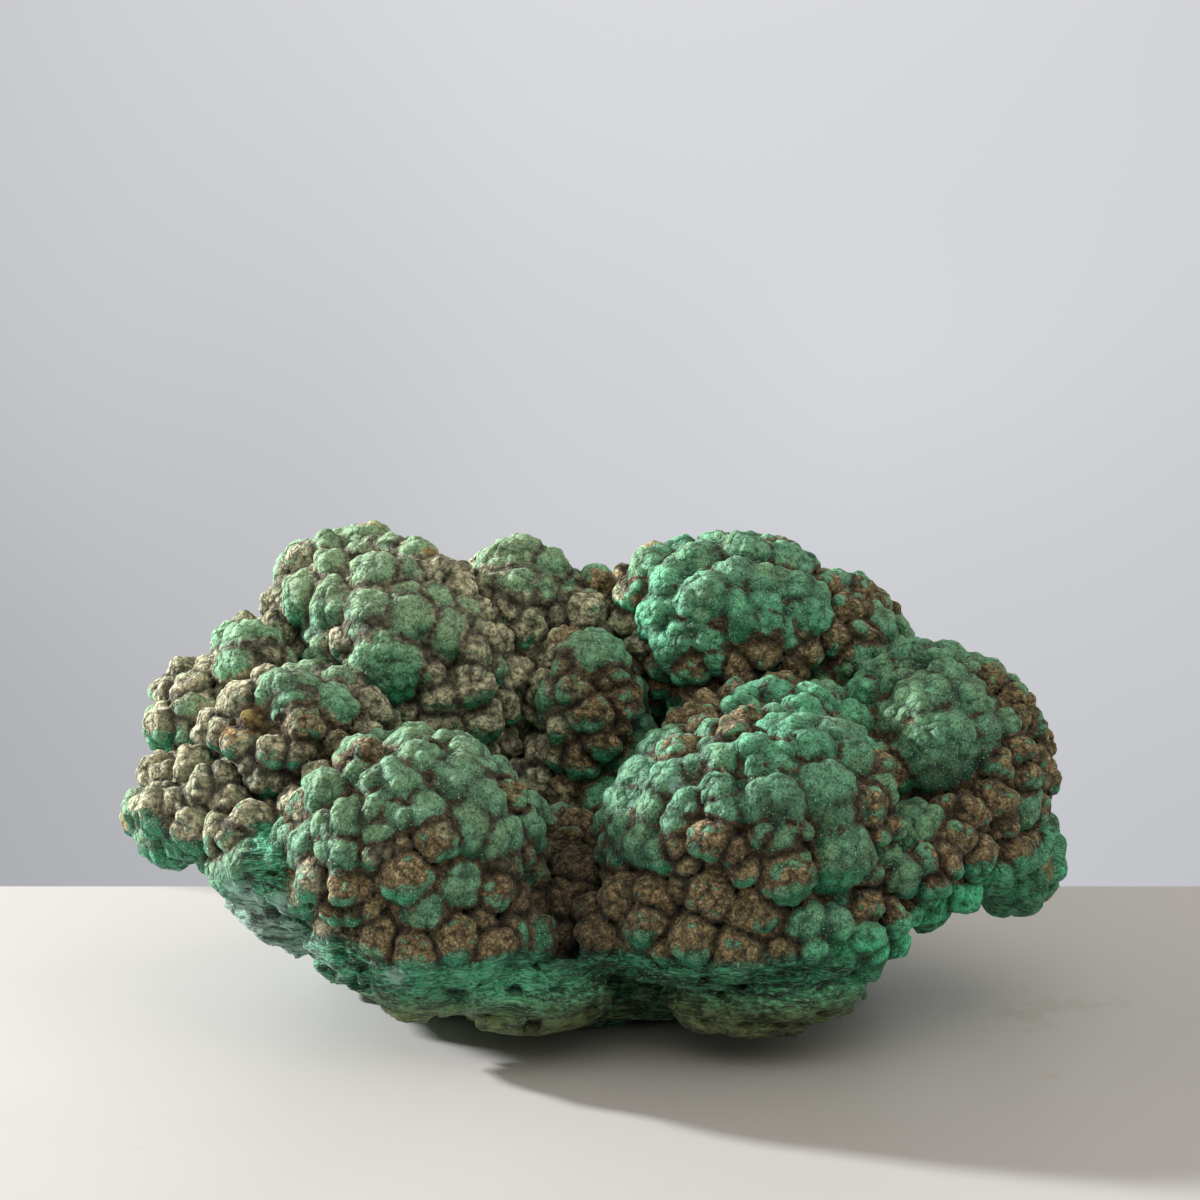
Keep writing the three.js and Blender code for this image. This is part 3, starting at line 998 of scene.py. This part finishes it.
# %% Silky skirt
silk_place = stone.stretch(place, (0.4, 0.4, 1.7))
drift = stone.add("ShaderNodeVectorMath", {"operation": "MULTIPLY_ADD"},
                  {0: stone.add("ShaderNodeTexNoise", {}, {"Vector": place, "Scale": 1 / 16},
                                "Color"),
                   1: (7.0, 7.0, 7.0), 2: silk_place})
streak = stone.noise(drift, 4.2, 5.0, 0.72)
strand = stone.noise(drift, 1.1, 2.0, 0.6)
# Painted shade in the streaks' furrows and painted light on their ridges, as the relief raises them.
silk = stone.mix(stone.ramp(streak, 0.40, 0.60), paint(5, 50, 32), paint(56, 176, 124))
silk = stone.mix(stone.note("bright") * 0.7, silk, paint(96, 220, 166))
# Painted light brightens the silk of the right tip.
silk = stone.mix(stone.note("gleam") * 0.9, silk, paint(120, 232, 172))
# Painted highlights on the ridges of strands and streaks, then painted shade between the strands.
silk = stone.mix(stone.ramp(strand, 0.52, 0.66) * 0.65, silk, paint(156, 232, 192))
silk = stone.mix(stone.ramp(streak, 0.54, 0.68) * 0.6, silk, paint(136, 224, 184))
silk = stone.mix(stone.ramp(strand, 0.48, 0.36) * 0.75, silk, paint(6, 32, 20))
olive = stone.mix(stone.ramp(streak, 0.38, 0.62), paint(56, 62, 28), paint(140, 144, 82))
silk = stone.mix(stone.note("olive") * 0.85, silk, olive)
lace = stone.mix(stone.ramp(streak, 0.42, 0.60), paint(64, 92, 76), paint(188, 224, 206))
silk = stone.mix(stone.note("foot_left") * 0.8, silk, lace)
print("silk takes the count to", len(stone.tree.nodes), "nodes")

# %% [markdown]
# The three finishes are laid over each other, then the marks, then painted shade in the creases. A
# painted shade finer than the mesh darkens the gaps between granules and knobs, painted light
# brightens upward faces and the back row's top, painted shade darkens the cleft, and painted
# glints, the sparks, are the few cells whose luck is high.

# %% Everything together, with painted shade in the creases and painted glints
body = stone.mix(crust, velvet, crust_paint)
body = stone.mix(skirt_here, body, silk)
ochre = stone.mix(stone.ramp(speck, 0.38, 0.65), paint(132, 82, 36), paint(190, 158, 84))
rusty = stone.ramp(stone.note("rust") + 1.3 * (speck - 0.5), 0.45, 0.7)
body = stone.mix(rusty * 0.75, body, ochre)
bloom = stone.ramp(stone.note("pale") + 0.9 * (streak - 0.5), 0.35, 0.7)
body = stone.mix(bloom * 0.85, body, paint(172, 218, 202))
# Painted shade: creases between heads and knobs are painted dark.
crease = stone.ramp(0.45 * head_top + 0.55 * knob_top, 0.32, 0.04)
crease = crease.most((0.55 + 0.38 * crust) * head_crease * (1 - skirt_here))
crease = crease.most((0.34 + 0.20 * crust) * knob_crease * (1 - skirt_here))
body = stone.mix(crease * (0.92 - 0.35 * skirt_here), body, paint(18, 16, 10))
shade = 1 - stone.ramp(granule, 0.42, 0.85) * (0.16 + 0.44 * crust)
shade = shade * (1 - stone.ramp(knob, 0.60, 0.92) * (0.48 - 0.30 * skirt_here))
# Painted light on upward faces and the back row's top, painted shade in the cleft.
back_painted_light_gain = 1 + 0.62 * faded * (1 - 0.75 * upward)
light_share = (1.24 + 0.24 * upward) * back_painted_light_gain * (1 - 0.6 * cleft)
body = stone.mix(1.0, body, shade * light_share, "MULTIPLY")
# Painted glints: a few tiny cells on the velvet are painted pale.
painted_glint_spot = stone.ramp(stone.cells(place, 1.05), 0.34, 0.14)
painted_glint = painted_glint_spot * stone.ramp(luck, 0.62, 0.95) * (1 - crust)
body = stone.mix(painted_glint * 0.85, body, paint(196, 236, 206))
print("the colour takes the count to", len(stone.tree.nodes), "nodes")

# %% [markdown]
# What is too fine for the mesh is relief in the light: knobs, granules and beads as rounded cells,
# each height in millimetres, and the skirt's streaks. Crust is dull, and silk a little glossier.

# %% Relief and gloss
relief = (1 - knob ** 2) * (2.9 - 1.9 * skirt_here)
relief = relief + (1 - granule ** 2) * (0.70 + 0.70 * crust) * (1 - 0.6 * skirt_here)
relief = relief + (1 - bead ** 2) * (0.14 + 0.22 * crust) * (1 - 0.5 * skirt_here)
relief = relief + grain * 0.3 + speck * 0.6 + (streak * 9.0 + strand * 2.2) * skirt_here
bump = stone.add("ShaderNodeBump", {}, {"Strength": 1.0, "Distance": 0.001, "Height": relief})
stone.put(stone.shader.inputs["Base Color"], body)
stone.put(stone.shader.inputs["Roughness"], 0.74 + 0.20 * crust - 0.22 * skirt_here)
stone.put(stone.shader.inputs["Normal"], bump)
stone.shader.inputs["Specular IOR Level"].default_value = 0.35
stone.shader.inputs["Sheen Weight"].default_value = 0.08
stone.shader.inputs["Sheen Roughness"].default_value = 0.5
skin.materials.append(malachite)
print("the stone's finish has", len(stone.tree.nodes), "nodes")

# %% [markdown]
# The looks take the place of the solid in the frame. The block has no moving parts, so it rides on
# the root.

# %% The block takes its place in the frame
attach(specimen, "root")
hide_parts(BLOCK)
print(BLOCK, "has its looks")

# %% [markdown]
# ## Table, light and camera
# The block stands near the back of a pale stone table, before a plain grey wall. One small lamp low
# on the left, a little behind, throws the shadow to the right and forward; the room fills the rest.

# %% Table
def slab(name, low, high):
    """A box with a softened edge: eight corners, six faces."""
    low, high = np.array(low), np.array(high)
    pick = np.array([(i, j, k) for i in (0, 1) for j in (0, 1) for k in (0, 1)])
    corners = low + pick * (high - low)
    sides = np.array([(0, 1, 3, 2), (4, 6, 7, 5), (0, 4, 5, 1),
                      (2, 3, 7, 6), (0, 2, 6, 4), (1, 5, 7, 3)])
    made = bpy.data.objects.new(name, to_mesh(name, corners, sides))
    bpy.context.scene.collection.objects.link(made)
    edge = made.modifiers.new("edge", "BEVEL")
    edge.width, edge.segments = 0.002, 3
    return made


TABLE_BACK = 0.155     # metres behind the middle of the block
table = slab("table", (-3.0, -3.0, -0.03), (3.0, TABLE_BACK, 0.0))
pale_stone = bpy.data.materials.new("pale_table")
slate = Formula(pale_stone, "Principled BSDF")
spot = slate.add("ShaderNodeTexCoord", {}, {}, "Object")        # in metres here
cloud = slate.noise(spot, 0.35, 3.0)
vein = slate.ramp(slate.noise(spot, 0.12, 6.0, 0.75), 0.60, 0.68)
table_paint = slate.mix(slate.ramp(cloud, 0.35, 0.65), paint(197, 194, 192), paint(191, 188, 186))
table_paint = slate.mix(vein * 0.45, table_paint, paint(176, 168, 152))
slate.put(slate.shader.inputs["Base Color"], table_paint)
slate.shader.inputs["Roughness"].default_value = 0.5
table.data.materials.append(pale_stone)
print("the table's back edge is at y =", TABLE_BACK, "m")

# %% [markdown]
# The room is a formula of direction: a grey wall ahead with a soft glow on it, a warm pale ceiling,
# brighter low light from both sides, and little from behind the eye, which keeps the front deep.

# %% The grey room
scene = bpy.context.scene
scene.view_settings.view_transform = "Standard"
room = bpy.data.worlds.new("grey_room")
scene.world = room
sky = Formula(room, "Background")
direction = sky.add("ShaderNodeTexCoord", {}, {}, "Generated")
to_right, to_back, to_top = (sky.add("ShaderNodeSeparateXYZ", {}, {0: direction}, i)
                             for i in range(3))
wall_glow = 1 - 4.2 * (to_right - 0.05 + 0.15 * (to_top + 0.1)) ** 2
mottle = 1 + 0.22 * (sky.noise(direction, 0.16, 1.0) - 0.5)
wall = sky.mix(sky.ramp(to_top, -0.30, -0.02), paint(195, 196, 201), paint(218, 219, 223))
wall = sky.mix(1.0, wall, wall_glow.most(0.55) * mottle, "MULTIPLY")
ahead = sky.ramp(to_back, 0.55, 0.90)
above = sky.ramp(to_top, 0.10, 0.70)
ceiling_glow = 0.74 + 0.42 * sky.ramp(to_right - to_back, -0.9, 1.1)
ceiling = sky.mix(1.0, paint(246, 241, 232), ceiling_glow, "MULTIPLY")
low_glow = 0.76 + 1.3 * sky.ramp(to_right, -0.1, 0.9) + 1.0 * sky.ramp(to_right, -0.1, -0.9)
side = sky.mix(1.0, paint(112, 109, 105), low_glow, "MULTIPLY")
rest = sky.mix(above, side, ceiling)
sky.put(sky.shader.inputs["Color"], sky.mix(ahead * (1 - above), rest, wall))
sky.shader.inputs["Strength"].default_value = 1.0
print("the room has", len(sky.tree.nodes), "nodes")

# %% [markdown]
# A small lamp gives the crisp shadow edge, and its low place gives the shadow its length. An area
# lamp shines against its own Z axis, so it is turned until its Z points away from the block.

# %% The key lamp
KEY_WAY = np.array([-0.86, 0.40, 0.345])     # from the block towards the lamp
KEY_DISTANCE = 3.2                           # metres
BLOCK_MIDDLE = np.array([0, 0, 0.08])

way = KEY_WAY / np.linalg.norm(KEY_WAY)
light = bpy.data.lights.new("key", "AREA")
light.size, light.energy, light.color = 0.20, 218.0, (0.98, 0.99, 1.0)
key = bpy.data.objects.new("key", light)
key.location = way * KEY_DISTANCE + BLOCK_MIDDLE
key.rotation_euler = Vector(way).to_track_quat("Z", "Y").to_euler()
scene.collection.objects.link(key)
print("the key lamp stands at", np.round(key.location, 2))

# %% [markdown]
# The key would light the far right of the table as strongly as the near left. A card that the
# camera can't see stands behind the block on the left, and its shadow falls on the far right.

# %% A card that keeps the key off the far right of the table
CARD_X = -0.5
CARD_NEAR, CARD_FAR, CARD_TOP = 0.30, 1.20, 0.33
card_corners = np.array([(CARD_X, CARD_NEAR, 0.0), (CARD_X, CARD_FAR, 0.0),
                         (CARD_X, CARD_FAR, CARD_TOP), (CARD_X, CARD_NEAR, CARD_TOP)])
card = bpy.data.objects.new("shade_card",
                            to_mesh("shade_card", card_corners, np.array([(0, 1, 2, 3)])))
scene.collection.objects.link(card)
card.data.materials.append(pale_stone)
card.visible_camera = False
print("the card is", CARD_FAR - CARD_NEAR, "m wide")

# %% [markdown]
# The camera stands where the eye stood when the heads were placed. Its lens follows from how wide a
# view it should have at the block: focal length / sensor width = distance / view width.

# %% Camera
SENSOR_WIDTH = 36.0
VIEW_WIDTH = 462.0       # millimetres seen from side to side at the block
lens = bpy.data.cameras.new("camera")
lens.sensor_width = SENSOR_WIDTH
lens.lens = SENSOR_WIDTH * EYE_DISTANCE / VIEW_WIDTH
camera = bpy.data.objects.new("camera", lens)
camera.location = (eye - MIDDLE) / 1000
camera.rotation_euler = (math.pi / 2 - PITCH, 0, 0)
scene.collection.objects.link(camera)
scene.camera = camera
print("lens", round(lens.lens, 1), "mm")
